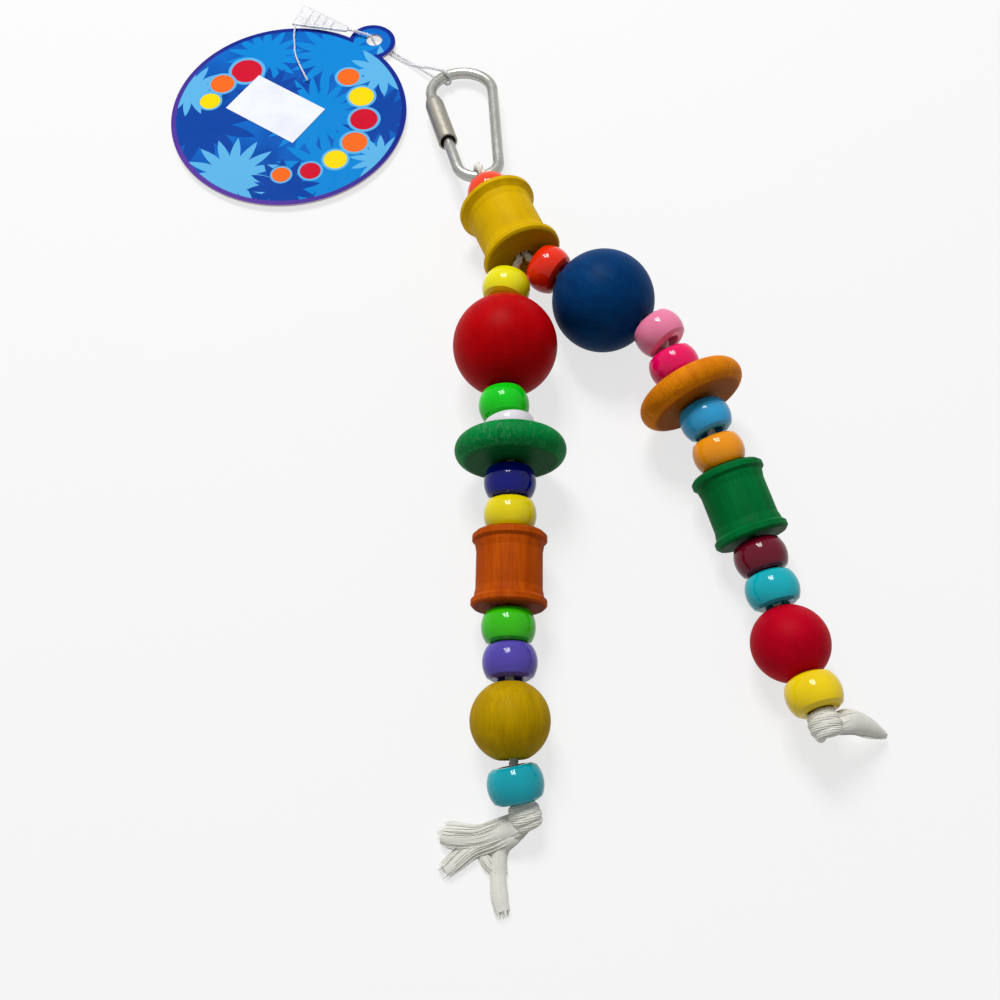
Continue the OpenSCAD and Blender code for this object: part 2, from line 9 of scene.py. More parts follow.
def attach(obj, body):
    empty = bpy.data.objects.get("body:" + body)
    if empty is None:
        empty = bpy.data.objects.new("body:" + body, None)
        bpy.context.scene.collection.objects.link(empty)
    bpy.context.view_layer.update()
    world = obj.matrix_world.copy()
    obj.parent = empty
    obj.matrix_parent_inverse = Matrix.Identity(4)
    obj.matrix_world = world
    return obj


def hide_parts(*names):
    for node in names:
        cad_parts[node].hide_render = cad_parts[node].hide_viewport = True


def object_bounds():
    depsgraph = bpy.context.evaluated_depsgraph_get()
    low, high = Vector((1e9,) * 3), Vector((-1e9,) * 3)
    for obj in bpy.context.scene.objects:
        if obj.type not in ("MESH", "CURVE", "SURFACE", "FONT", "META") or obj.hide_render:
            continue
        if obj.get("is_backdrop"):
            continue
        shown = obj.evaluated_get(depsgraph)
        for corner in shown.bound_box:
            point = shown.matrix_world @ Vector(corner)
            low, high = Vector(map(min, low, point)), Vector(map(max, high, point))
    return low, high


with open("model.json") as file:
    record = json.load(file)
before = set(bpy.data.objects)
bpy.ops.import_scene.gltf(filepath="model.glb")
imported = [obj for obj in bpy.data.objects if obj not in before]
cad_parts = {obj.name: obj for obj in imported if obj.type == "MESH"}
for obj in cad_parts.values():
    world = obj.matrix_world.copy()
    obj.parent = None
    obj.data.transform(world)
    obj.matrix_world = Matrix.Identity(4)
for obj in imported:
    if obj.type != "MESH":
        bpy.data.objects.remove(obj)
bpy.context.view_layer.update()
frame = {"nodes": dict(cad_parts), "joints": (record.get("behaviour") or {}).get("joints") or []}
nodes = frame["nodes"]
joints = {joint["name"]: joint for joint in frame["joints"]}
mm = 0.001


# Camera: the toy lies on the table and is seen from its lower end
cameraSettings = {
    "lens": 36.0,
    "sensor": 36.0,
    "tilt": 24.29,  # degrees off straight down
    "distance": 179.66 * mm,
    "aim": (8.264 * mm, -95.41 * mm, 0.0),
    "clip": (0.005, 20),
}


def addCamera(settings):
    camera = bpy.data.objects.new("camera", bpy.data.cameras.new("camera"))
    bpy.context.scene.collection.objects.link(camera)
    tilt = math.radians(settings["tilt"])
    looking = Vector((0, math.sin(tilt), -math.cos(tilt)))
    camera.location = Vector(settings["aim"]) - looking * settings["distance"]
    camera.rotation_euler = (tilt, 0, 0)
    camera.data.lens = settings["lens"]
    camera.data.sensor_width = settings["sensor"]
    camera.data.clip_start, camera.data.clip_end = settings["clip"]
    bpy.context.scene.camera = camera


addCamera(cameraSettings)
print("camera placed")


def paint(red, green, blue):
    # screen values from 0 to 255, as the linear colour that a shader takes
    linear = []
    for value in (red, green, blue):
        share = value / 255
        linear.append(share / 12.92 if share <= 0.04045 else ((share + 0.055) / 1.055) ** 2.4)
    return (*linear, 1.0)


def darker(colour, share):
    return (colour[0] * share, colour[1] * share, colour[2] * share, 1.0)


# Small helpers for node trees
def addNode(tree, kind, **values):
    node = tree.nodes.new(kind)
    for name, value in values.items():
        setattr(node, name, value)
    return node


def plug(node, name, value):
    # a socket takes a plain value, or a link from a socket or from a node's first output
    socket = node.inputs[name]
    if isinstance(value, bpy.types.Node):
        value = value.outputs[0]
    if isinstance(value, bpy.types.NodeSocket):
        node.id_data.links.new(value, socket)
    else:
        socket.default_value = value


def follow(tree, kind, name, value, **values):
    # a new node that takes one link or value
    node = addNode(tree, kind, **values)
    plug(node, name, value)
    return node


def sums(tree, operation, first, second=None, third=None, clamp=False):
    node = addNode(tree, "ShaderNodeMath", operation=operation, use_clamp=clamp)
    for index, value in enumerate((first, second, third)):
        if value is not None:
            plug(node, index, value)
    return node.outputs[0]


def vectors(tree, operation, first, second=None, output="Vector"):
    node = follow(tree, "ShaderNodeVectorMath", 0, first, operation=operation)
    if second is not None:
        plug(node, 1, second)
    return node.outputs[output]


def partsOf(tree, vector):
    return follow(tree, "ShaderNodeSeparateXYZ", 0, vector).outputs


def vectorOf(tree, *parts):
    node = addNode(tree, "ShaderNodeCombineXYZ")
    for index, value in enumerate(parts):
        plug(node, index, value)
    return node.outputs[0]


def scaled(tree, vector, factor):
    made = vectors(tree, "SCALE", vector)
    plug(made.node, "Scale", factor)
    return made


def blendColours(tree, share, first, second):
    node = follow(tree, "ShaderNodeMix", 0, share, data_type="RGBA", blend_type="MIX")
    plug(node, 6, first)
    plug(node, 7, second)
    return node.outputs[2]


def stretch(tree, value, low, high, newLow=0.0, newHigh=1.0):
    node = addNode(tree, "ShaderNodeMapRange", clamp=True)
    names = ("Value", "From Min", "From Max", "To Min", "To Max")
    for name, item in zip(names, (value, low, high, newLow, newHigh)):
        plug(node, name, item)
    return node.outputs[0]


def noise(tree, vector, scale, detail=2.0, roughness=0.5):
    node = follow(tree, "ShaderNodeTexNoise", "Vector", vector)
    plug(node, "Scale", scale)
    plug(node, "Detail", detail)
    plug(node, "Roughness", roughness)
    return node.outputs[0]


def newTree(name, kind, inputs, outputs):
    # a socket without a first value is of the kind that it is named for
    tree = bpy.data.node_groups.new(name, kind)
    numbers = {int: "Int", float: "Float"}
    for side, sockets in (("INPUT", inputs), ("OUTPUT", outputs)):
        for socketName, value in sockets.items():
            socketKind = "NodeSocket" + numbers.get(type(value), socketName)
            socket = tree.interface.new_socket(socketName, in_out=side, socket_type=socketKind)
            if value is not None:
                socket.default_value = value
    return tree, tree.nodes.new("NodeGroupInput").outputs, tree.nodes.new("NodeGroupOutput")


def emptyTree(owner, outputKind):
    owner.use_nodes = True
    tree = owner.node_tree
    tree.nodes.clear()
    return tree, tree.nodes.new(outputKind)


alongGrain = (1.0, 1.0, 0.06)
softCottonScale = 420.0


def woodGrainGroup():
    # fibres and softer streaks that run along Z, and the uneven way that dye soaks in
    inputs = {"Vector": None, "Fibre Scale": 2900.0, "Streak Scale": 760.0, "Dye Scale": 170.0}
    outputs = {"Shade": 0.0, "Dye": 0.0, "Height": 0.0}
    tree, given, made = newTree("wood grain", "ShaderNodeTree", inputs, outputs)
    along = vectors(tree, "MULTIPLY", given["Vector"], alongGrain)
    fibres = noise(tree, along, given["Fibre Scale"], 3.0, 0.6)
    streaks = noise(tree, along, given["Streak Scale"], 2.0, 0.5)
    soaked = noise(tree, given["Vector"], given["Dye Scale"], 2.0, 0.55)
    both = sums(tree, "MULTIPLY_ADD", fibres, 0.5, sums(tree, "MULTIPLY", streaks, 0.5))
    plug(made, "Shade", both)
    plug(made, "Dye", soaked)
    plug(made, "Height", fibres)
    return tree


def handlingGroup():
    # smudges of a thing that has been handled
    inputs = {"Vector": None, "Scale": 350.0}
    tree, given, made = newTree("handling", "ShaderNodeTree", inputs, {"Smudge": 0.0})
    plug(made, "Smudge", noise(tree, given["Vector"], given["Scale"], 3.0, 0.6))
    return tree


def cottonGroup():
    # single fibres in a ply of soft cotton
    inputs = {"Vector": None, "Scale": 5200.0}
    outputs = {"Shade": 0.0, "Height": 0.0}
    tree, given, made = newTree("cotton fibres", "ShaderNodeTree", inputs, outputs)
    fine = noise(tree, given["Vector"], given["Scale"], 3.0, 0.7)
    soft = noise(tree, given["Vector"], softCottonScale, 2.0)
    plug(made, "Shade", sums(tree, "MULTIPLY_ADD", fine, 0.6, sums(tree, "MULTIPLY", soft, 0.4)))
    plug(made, "Height", fine)
    return tree


woodGrain = woodGrainGroup()
handling = handlingGroup()
cottonFibres = cottonGroup()


def newMaterial(name):
    material = bpy.data.materials.new(name)
    tree, output = emptyTree(material, "ShaderNodeOutputMaterial")
    shader = tree.nodes.new("ShaderNodeBsdfPrincipled")
    plug(output, "Surface", shader)
    return material, tree, shader


def placeGroup(tree, group, vector, **values):
    node = follow(tree, "ShaderNodeGroup", "Vector", vector, node_tree=group)
    for name, value in values.items():
        plug(node, name, value)
    return node.outputs


def ownCoordinates(tree, centre=(0, 0, 0), turn=(0, 0, 0)):
    # the piece's own place: its middle at the origin and its hole along Z
    place = addNode(tree, "ShaderNodeTexCoord").outputs["Object"]
    mapping = follow(tree, "ShaderNodeMapping", "Vector", place, vector_type="TEXTURE")
    plug(mapping, "Location", centre)
    plug(mapping, "Rotation", turn)
    return mapping.outputs[0]


def roughen(tree, shader, marks, roughness, low=0.3, high=0.7):
    # nearly all of a noise lies between the low and the high value
    plug(shader, "Roughness", stretch(tree, marks, low, high, *roughness))


def bump(tree, shader, height, strength, distance):
    node = follow(tree, "ShaderNodeBump", "Height", height)
    plug(node, "Strength", strength)
    plug(node, "Distance", distance)
    plug(shader, "Normal", node)


def spinPlace(node):
    joint = joints[node + "_spin"]
    turn = Vector(joint["axis"]).to_track_quat("Z", "Y").to_euler()
    return tuple(joint["pos_m"]), tuple(turn)


# Glossy moulded pony beads
beadSettings = {
    "roughness": (0.06, 0.14),
    "specular": 0.24,
    "ripple": 0.05,
    "bumpHeight": 0.2 * mm,
    "seamWidth": 0.07 * mm,
    "seamShare": 0.5,
    "smudgeScale": 420.0,
    "smudgeRange": (0.3, 0.75),
    "cloudScale": 160.0,
    "cloudRange": (0.35, 0.7),
    "cloudShade": 0.86,
    "waveScale": 620.0,
}
beadColours = {
    "top_bead": paint(255, 72, 34),
    "left_yellow_bead": paint(244, 236, 6),
    "left_green_bead": paint(0, 214, 22),
    "left_white_bead": paint(240, 236, 244),
    "left_navy_bead": paint(0, 12, 130),
    "left_gold_bead": paint(240, 220, 0),
    "left_lime_bead": paint(56, 198, 4),
    "left_purple_bead": paint(84, 70, 176),
    "left_turquoise_bead": paint(0, 168, 184),
    "right_scarlet_bead": paint(246, 44, 8),
    "right_pink_bead": paint(248, 134, 172),
    "right_magenta_bead": paint(250, 0, 100),
    "right_sky_bead": paint(48, 166, 222),
    "right_orange_bead": paint(255, 158, 8),
    "right_maroon_bead": paint(112, 6, 36),
    "right_teal_bead": paint(0, 182, 196),
    "right_yellow_bead": paint(252, 218, 0),
}


def beadMaterial(name, colour, settings):
    material, tree, shader = newMaterial(name)
    own = ownCoordinates(tree, *spinPlace(name))
    marks = placeGroup(tree, handling, own, Scale=settings["smudgeScale"])
    cloudy = stretch(tree, noise(tree, own, settings["cloudScale"], 1.0), *settings["cloudRange"])
    tint = blendColours(tree, cloudy, darker(colour, settings["cloudShade"]), colour)
    plug(shader, "Base Color", tint)
    roughen(tree, shader, marks["Smudge"], settings["roughness"], *settings["smudgeRange"])
    plug(shader, "Specular IOR Level", settings["specular"])
    # the faint line left by the two halves of the mould
    parts = partsOf(tree, own)
    fromSeam = sums(tree, "ABSOLUTE", parts["Z"])
    seam = stretch(tree, fromSeam, 0.0, settings["seamWidth"], 1.0, 0.0)
    waves = noise(tree, own, settings["waveScale"], 1.0)
    height = sums(tree, "MULTIPLY_ADD", seam, settings["seamShare"], waves)
    bump(tree, shader, height, settings["ripple"], settings["bumpHeight"])
    return material


# Dyed wooden balls, discs and spools. The grain is how far the streaks go towards the deep
# dye, and the end is where an end face starts, from the piece's middle.
woodSettings = {
    "top_spool": {
        "dye": paint(224, 182, 0), "deep": paint(196, 150, 0), "grain": 0.45,
        "roughness": (0.5, 0.62), "relief": 0.1, "end": 7.5 * mm,
    },
    "left_red_ball": {
        "dye": paint(192, 0, 8), "deep": paint(152, 0, 4), "grain": 0.5,
        "roughness": (0.38, 0.5), "relief": 0.06,
    },
    "left_green_disc": {
        "dye": paint(0, 140, 64), "deep": paint(0, 96, 42), "grain": 0.6,
        "roughness": (0.4, 0.56), "relief": 0.2, "end": 2.45 * mm, "dust": 0.42,
    },
    "left_brown_spool": {
        "dye": paint(200, 88, 8), "deep": paint(158, 58, 2), "grain": 0.8,
        "roughness": (0.5, 0.64), "relief": 0.24, "end": 6.45 * mm,
    },
    "left_olive_ball": {
        "dye": paint(196, 160, 0), "deep": paint(160, 124, 0), "grain": 0.75,
        "roughness": (0.48, 0.62), "relief": 0.12,
    },
    "right_blue_ball": {
        "dye": paint(0, 62, 116), "deep": paint(0, 38, 84), "grain": 0.7,
        "roughness": (0.4, 0.54), "relief": 0.08,
    },
    "right_orange_disc": {
        "dye": paint(236, 142, 14), "deep": paint(186, 92, 0), "grain": 0.6,
        "roughness": (0.46, 0.6), "relief": 0.3, "end": 2.45 * mm, "pits": 0.28,
    },
    "right_green_spool": {
        "dye": paint(0, 116, 54), "deep": paint(0, 86, 38), "grain": 0.6,
        "roughness": (0.44, 0.58), "relief": 0.14, "end": 6.45 * mm,
    },
    "right_red_ball": {
        "dye": paint(196, 0, 34), "deep": paint(160, 0, 20), "grain": 0.5,
        "roughness": (0.42, 0.56), "relief": 0.08,
    },
}
# what all the wooden pieces share
woodFinish = {
    "specular": 0.04,
    "bumpHeight": 0.25 * mm,
    "streakRange": (0.66, 0.36),
    "soakRange": (0.4, 0.68),
    "soakShare": 0.3,
    "soakShade": 0.85,
    "palerShare": 0.8,
    "palerBy": 0.16,
    "speckScale": 1700.0,
    "speckRange": (0.64, 0.78),
    "speckShare": 0.18,
    "rubbedScale": 1900.0,
    "rubbedRange": (0.52, 0.72),
    "rubbedStretch": (1.0, 1.0, 0.35),
    "poreScale": 1600.0,
    "poreRange": (0.1, 0.38),
    "poreShade": 0.6,
    "poreStretch": (1.0, 1.0, 0.5),
    "endEdges": (0.3 * mm, 0.05 * mm),  # how far inside the end face its darker colour starts: end-grain dye and painted shade
    "endDyeAndShadeShare": 0.8,
    "endDyeAndPaintedShade": 0.5,
}


def woodMaterial(name, settings, finish):
    material, tree, shader = newMaterial(name)
    own = ownCoordinates(tree, *spinPlace(name))
    grain = placeGroup(tree, woodGrain, own)
    streaks = stretch(tree, grain["Shade"], *finish["streakRange"])
    streaks = sums(tree, "MULTIPLY", streaks, settings["grain"])
    tint = blendColours(tree, streaks, settings["dye"], settings["deep"])
    soaked = stretch(tree, grain["Dye"], *finish["soakRange"], 0.0, finish["soakShare"])
    tint = blendColours(tree, soaked, tint, darker(settings["deep"], finish["soakShade"]))
    paler = [finish["palerShare"] * value + finish["palerBy"] for value in settings["dye"][:3]]
    pale = (*paler, 1.0)
    fine = noise(tree, own, finish["speckScale"], 4.0, 0.75)
    height = grain["Height"]
    if "dust" in settings:
        # the turned rim has rubbed pale along its ridges
        ridged = vectors(tree, "MULTIPLY", own, finish["rubbedStretch"])
        ridged = noise(tree, ridged, finish["rubbedScale"], 4.0, 0.7)
        rubbed = stretch(tree, ridged, *finish["rubbedRange"], 0.0, settings["dust"])
        tint = blendColours(tree, rubbed, tint, pale)
    if "pits" in settings:
        pores = follow(tree, "ShaderNodeTexVoronoi", "Scale", finish["poreScale"], feature="F1")
        plug(pores, "Vector", vectors(tree, "MULTIPLY", own, finish["poreStretch"]))
        pit = stretch(tree, pores.outputs["Distance"], *finish["poreRange"], settings["pits"], 0.0)
        tint = blendColours(tree, pit, tint, darker(settings["deep"], finish["poreShade"]))
        height = sums(tree, "SUBTRACT", height, pit)
    specks = stretch(tree, fine, *finish["speckRange"], 0.0, finish["speckShare"])
    tint = blendColours(tree, specks, tint, pale)
    if "end" in settings:
        # end grain drinks more dye, and the darker end faces are also painted shade
        parts = partsOf(tree, own)
        fromMiddle = sums(tree, "ABSOLUTE", parts["Z"])
        low, high = (settings["end"] - edge for edge in finish["endEdges"])
        end = stretch(tree, fromMiddle, low, high, 0.0, finish["endDyeAndShadeShare"])
        # painted shade together with real end-grain dye: both end faces take a darker colour
        tint = blendColours(tree, end, tint, darker(settings["deep"], finish["endDyeAndPaintedShade"]))
    plug(shader, "Base Color", tint)
    roughen(tree, shader, grain["Height"], settings["roughness"])
    plug(shader, "Specular IOR Level", finish["specular"])
    bump(tree, shader, height, settings["relief"], finish["bumpHeight"])
    return material


def dress(node, material):
    mesh = nodes[node].data
    if not mesh.materials:
        mesh.materials.append(material)
    for index in range(len(mesh.materials)):
        mesh.materials[index] = material


for name, colour in beadColours.items():
    dress(name, beadMaterial(name, colour, beadSettings))
for name, settings in woodSettings.items():
    dress(name, woodMaterial(name, settings, woodFinish))
print("beads and wooden pieces dressed:", len(beadColours) + len(woodSettings))


# Link and sleeve: nickel-plated wire, and a duller turned sleeve
linkSettings = {
    "heading": 9.2,
    "rise": 8.261,
    "restHeight": 2.955 * mm,
    "topRadius": 6.65 * mm,
    "lean": 5.862,
    "wireRadius": 1.15 * mm,
    "threadPitch": 0.42 * mm,
    "threadRadius": 0.12 * mm,
    "threads": ((1.5, 2.5), (8.1, 13.6)),  # from and to along the leg, in millimetres
    "threadSteps": 14,
    "threadCore": 0.03 * mm,
    "threadStep": 0.25 * mm,
}
metalSettings = {
    "link_wire": {"colour": paint(180, 180, 174), "roughness": (0.24, 0.36), "streaks": 0.3},
    "link_sleeve": {"colour": paint(166, 162, 150), "roughness": (0.36, 0.48), "streaks": 0.5},
}
metalFinish = {
    "drawn": (1.0, 0.06, 1.0),
    "streakScale": 2400.0,
    "dullScale": 260.0,
    "smudgeScale": 900.0,
    "toneRange": (0.32, 0.7),
    "toneShade": 0.84,
    "relief": 0.02,
    "bumpHeight": 0.1 * mm,
}


def linkPlace(x, y, z=0.0):
    # a point in the link's own plane, in metres from the middle of its eye
    rise = Matrix.Rotation(math.radians(-linkSettings["rise"]), 3, "X")
    heading = Matrix.Rotation(math.radians(linkSettings["heading"]), 3, "Z")
    return heading @ (rise @ Vector((x, y, z))) + Vector((0, 0, linkSettings["restHeight"]))


def metalMaterial(name, settings, finish):
    material, tree, shader = newMaterial(name)
    turn = (0.0, 0.0, math.radians(linkSettings["heading"]))
    own = ownCoordinates(tree, (0, 0, 0), turn)
    drawn = vectors(tree, "MULTIPLY", own, finish["drawn"])
    streaks = noise(tree, drawn, finish["streakScale"], 2.0, 0.6)
    dull = noise(tree, own, finish["dullScale"], 3.0, 0.6)
    marks = placeGroup(tree, handling, own, Scale=finish["smudgeScale"])
    share = settings["streaks"]
    tone = sums(tree, "MULTIPLY_ADD", streaks, share, sums(tree, "MULTIPLY", dull, 1 - share))
    shade = darker(settings["colour"], finish["toneShade"])
    tone = stretch(tree, tone, *finish["toneRange"])
    plug(shader, "Base Color", blendColours(tree, tone, shade, settings["colour"]))
    roughen(tree, shader, marks["Smudge"], settings["roughness"])
    plug(shader, "Metallic", 1.0)
    bump(tree, shader, streaks, finish["relief"], finish["bumpHeight"])
    return material


metals = {}
for name, settings in metalSettings.items():
    metals[name] = metalMaterial(name, settings, metalFinish)
    dress(name, metals[name])


# Cotton cord
cottonSettings = {
    "colour": paint(242, 241, 234),
    "shadow": paint(220, 218, 206),
    "shadeRange": (0.32, 0.66),
    "roughness": (0.95, 0.8),
    "sheen": 0.25,
    "sheenRoughness": 0.6,
    "specular": 0.2,
    "relief": 0.35,
    "bumpHeight": 0.1 * mm,
}


def cottonMaterial(settings):
    material, tree, shader = newMaterial("cotton")
    own = ownCoordinates(tree)
    fibres = placeGroup(tree, cottonFibres, own)
    shade = stretch(tree, fibres["Shade"], *settings["shadeRange"])
    tint = blendColours(tree, shade, settings["shadow"], settings["colour"])
    plug(shader, "Base Color", tint)
    roughen(tree, shader, shade, settings["roughness"], 0.0, 1.0)
    plug(shader, "Sheen Weight", settings["sheen"])
    plug(shader, "Sheen Roughness", settings["sheenRoughness"])
    plug(shader, "Specular IOR Level", settings["specular"])
    bump(tree, shader, fibres["Height"], settings["relief"], settings["bumpHeight"])
    return material


cotton = cottonMaterial(cottonSettings)


# Geometry trees: a laid cord, and a frayed tail of loose strands
def smoothSpline(tree, shape, mode, value):
    spline = follow(tree, "GeometryNodeMeshToCurve", "Mesh", shape)
    smooth = follow(tree, "GeometryNodeCurveSplineType", "Curve", spline)
    smooth.spline_type = "CATMULL_ROM"
    fine = follow(tree, "GeometryNodeResampleCurve", "Curve", smooth, mode=mode)
    plug(fine, "Length" if mode == "LENGTH" else "Count", value)
    return fine


def skinOver(tree, curve, radius, sides, scale=1.0, flatness=None):
    profile = follow(tree, "GeometryNodeCurvePrimitiveCircle", "Radius", radius, mode="RADIUS")
    plug(profile, "Resolution", sides)
    if flatness is not None:
        curve = follow(tree, "GeometryNodeSetCurveNormal", "Curve", curve, mode="Z_UP")
        profile = follow(tree, "GeometryNodeTransform", "Geometry", profile)
        plug(profile, "Scale", vectorOf(tree, 1.0, flatness, 1.0))
    skin = follow(tree, "GeometryNodeCurveToMesh", "Curve", curve)
    plug(skin, "Profile Curve", profile)
    plug(skin, "Fill Caps", True)
    plug(skin, "Scale", scale)
    return skin


def finishSkins(tree, skins, material, made):
    joined = addNode(tree, "GeometryNodeJoinGeometry")
    for skin in skins:
        plug(joined, 0, skin)
    smooth = follow(tree, "GeometryNodeSetShadeSmooth", 0, joined)
    real = follow(tree, "GeometryNodeRealizeInstances", 0, smooth)
    finish = follow(tree, "GeometryNodeSetMaterial", "Geometry", real)
    plug(finish, "Material", material)
    plug(made, "Geometry", finish)


cordSides = 8


def laidCordTree():
    inputs = {
        "Geometry": None,
        "Plies": 3,
        "Ply Radius": 0.43 * mm,
        "Lay Radius": 0.36 * mm,
        "Core Radius": 0.3 * mm,
        "Pitch": 4.2 * mm,
        "Step": 0.25 * mm,
        "Material": None,
    }
    tree, given, made = newTree("laid cord", "GeometryNodeTree", inputs, {"Geometry": None})
    path = smoothSpline(tree, given["Geometry"], "LENGTH", given["Step"])
    copies = follow(tree, "GeometryNodeDuplicateElements", "Geometry", path, domain="SPLINE")
    plug(copies, "Amount", given["Plies"])
    along = addNode(tree, "GeometryNodeSplineParameter").outputs["Length"]
    turns = sums(tree, "DIVIDE", along, given["Pitch"])
    start = sums(tree, "DIVIDE", copies.outputs["Duplicate Index"], given["Plies"])
    angle = sums(tree, "MULTIPLY", sums(tree, "ADD", turns, start), math.tau)
    normal = addNode(tree, "GeometryNodeInputNormal")
    tangent = addNode(tree, "GeometryNodeInputTangent")
    sideways = vectors(tree, "CROSS_PRODUCT", tangent, normal)
    shifts = []
    for axis, wave in ((normal, "COSINE"), (sideways, "SINE")):
        reach = sums(tree, "MULTIPLY", sums(tree, wave, angle), given["Lay Radius"])
        shifts.append(scaled(tree, axis, reach))
    moved = follow(tree, "GeometryNodeSetPosition", "Geometry", copies)
    plug(moved, "Offset", vectors(tree, "ADD", *shifts))
    plies = skinOver(tree, moved, given["Ply Radius"], cordSides)
    core = skinOver(tree, path, given["Core Radius"], cordSides)
    finishSkins(tree, (plies, core), given["Material"], made)
    return tree


def aboveTable(tree, shape, low):
    # nothing of a tail goes under the table
    parts = partsOf(tree, addNode(tree, "GeometryNodeInputPosition"))
    raised = vectorOf(tree, parts["X"], parts["Y"], sums(tree, "MAXIMUM", parts["Z"], low))
    kept = follow(tree, "GeometryNodeSetPosition", "Geometry", shape)
    plug(kept, "Position", raised)
    return kept


frayShape = {
    "points": 30,
    "waveScale": 190.0,
    "waveSeeds": (0.0, 30.0),
    "strandEnds": (0.82, 1.0),
    "strandSides": 5,
    "taper": -0.55,
    "taperPower": 3.0,
    "coreEnd": 0.93,
    "coreSides": 16,
    "coreLift": 0.04 * mm,
}


def frayedTailTree(shape):
    inputs = {
        "Geometry": None,
        "Strands": 34,
        "Strand Radius": 0.15 * mm,
        "Twist": 2.0,
        "Waviness": 0.35 * mm,
        "Core Share": 0.9,
        "Flatness": 0.6,
        "Seed": 1,
        "Material": None,
    }
    tree, given, made = newTree("frayed tail", "GeometryNodeTree", inputs, {"Geometry": None})
    path = smoothSpline(tree, given["Geometry"], "COUNT", shape["points"])
    copies = follow(tree, "GeometryNodeDuplicateElements", "Geometry", path, domain="SPLINE")
    plug(copies, "Amount", given["Strands"])

    def chance(low, high, offset):
        node = addNode(tree, "FunctionNodeRandomValue", data_type="FLOAT")
        plug(node, 2, low)
        plug(node, 3, high)
        plug(node, "ID", copies.outputs["Duplicate Index"])
        plug(node, "Seed", sums(tree, "ADD", given["Seed"], offset))
        return node.outputs[1]

    along = addNode(tree, "GeometryNodeSplineParameter").outputs["Factor"]
    spread = follow(tree, "GeometryNodeInputNamedAttribute", "Name", "spread", data_type="FLOAT")
    turned = sums(tree, "MULTIPLY", along, given["Twist"])
    angle = sums(tree, "ADD", chance(0.0, math.tau, 1), turned)
    reach = sums(tree, "MULTIPLY", sums(tree, "SQRT", chance(0.0, 1.0, 2)), spread)
    tangent = addNode(tree, "GeometryNodeInputTangent")
    sideways = vectors(tree, "CROSS_PRODUCT", tangent, (0.0, 0.0, 1.0))
    sideways = vectors(tree, "NORMALIZE", sideways)
    first = scaled(tree, sideways, sums(tree, "MULTIPLY", sums(tree, "COSINE", angle), reach))
    rise = sums(tree, "MULTIPLY", sums(tree, "SINE", angle), reach)
    lifted = vectorOf(tree, 0.0, 0.0, sums(tree, "MULTIPLY", rise, given["Flatness"]))
    wave = follow(tree, "ShaderNodeTexNoise", "Scale", shape["waveScale"], noise_dimensions="4D")
    plug(wave, "Detail", 1.0)
    plug(wave, "W", chance(*shape["waveSeeds"], 3))
    wander = vectors(tree, "SUBTRACT", wave.outputs["Color"], (0.5, 0.5, 0.5))
    wander = scaled(tree, wander, sums(tree, "MULTIPLY", given["Waviness"], along))
    moved = follow(tree, "GeometryNodeSetPosition", "Geometry", copies)
    beside = vectors(tree, "ADD", first, lifted)
    plug(moved, "Offset", vectors(tree, "ADD", beside, wander))
    raised = aboveTable(tree, moved, given["Strand Radius"])
    cut = follow(tree, "GeometryNodeTrimCurve", "Curve", raised, mode="FACTOR")
    plug(cut, "End", chance(*shape["strandEnds"], 4))
    end = addNode(tree, "GeometryNodeSplineParameter").outputs["Factor"]
    nearEnd = sums(tree, "POWER", end, shape["taperPower"])
    thinner = sums(tree, "MULTIPLY_ADD", nearEnd, shape["taper"], 1.0)
    strands = skinOver(tree, cut, given["Strand Radius"], shape["strandSides"], thinner)
    # the fibres lie so close that no light comes through the middle of the tail
    shorter = follow(tree, "GeometryNodeTrimCurve", "Curve", path, mode="FACTOR")
    plug(shorter, "End", shape["coreEnd"])
    width = sums(tree, "MULTIPLY", spread, given["Core Share"])
    core = skinOver(tree, shorter, 1.0, shape["coreSides"], width, given["Flatness"])
    core = aboveTable(tree, core, shape["coreLift"])
    finishSkins(tree, (strands, core), given["Material"], made)
    return tree


laidCord = laidCordTree()
frayedTail = frayedTailTree(frayShape)


def keepEvaluated(name, rough):
    # the object as its modifiers leave it, as a plain mesh of its own
    depsgraph = bpy.context.evaluated_depsgraph_get()
    grown = bpy.data.meshes.new_from_object(rough.evaluated_get(depsgraph))
    grown.name = name
    bpy.data.objects.remove(rough)
    piece = bpy.data.objects.new(name, grown)
    bpy.context.scene.collection.objects.link(piece)
    return piece


def growAlong(name, points, tree, values, spread=None):
    # lays the tree's shape along the points and keeps it as a plain mesh
    mesh = bpy.data.meshes.new(name + "_path")
    edges = [(i, i + 1) for i in range(len(points) - 1)]
    mesh.from_pydata([tuple(point) for point in points], edges, [])
    if spread:
        mesh.attributes.new("spread", "FLOAT", "POINT").data.foreach_set("value", spread)
    path = bpy.data.objects.new(name + "_path", mesh)
    bpy.context.scene.collection.objects.link(path)
    modifier = path.modifiers.new("grow", "NODES")
    modifier.node_group = tree
    sockets = {item.name: item.identifier for item in tree.interface.items_tree}
    for socketName, value in values.items():
        modifier[sockets[socketName]] = value
    bpy.context.view_layer.update()
    return keepEvaluated(name, path)


def strand(radius, core, step, material):
    # the laid cord's values for one plain round strand
    return {
        "Plies": 1, "Ply Radius": radius, "Lay Radius": 0.0, "Core Radius": core,
        "Pitch": 1.0, "Step": step, "Material": material,
    }


def settle(piece, body, slotName, *replaced):
    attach(piece, body)
    if replaced:
        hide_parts(*replaced)


# Cord route, worked out from the joints that the model was packed with
cordSettings = {
    "Plies": 3,
    "Ply Radius": 0.42 * mm,
    "Lay Radius": 0.36 * mm,
    "Pitch": 4.4 * mm,
    "Step": 0.25 * mm,
    "Material": cotton,
}
pairOffset = 0.86 * mm
eyeRadius = 2.2 * mm
eyeTaper = 45
eyeReach = 2.251 * mm
eyeSteps = 18
trunkSteps = 12

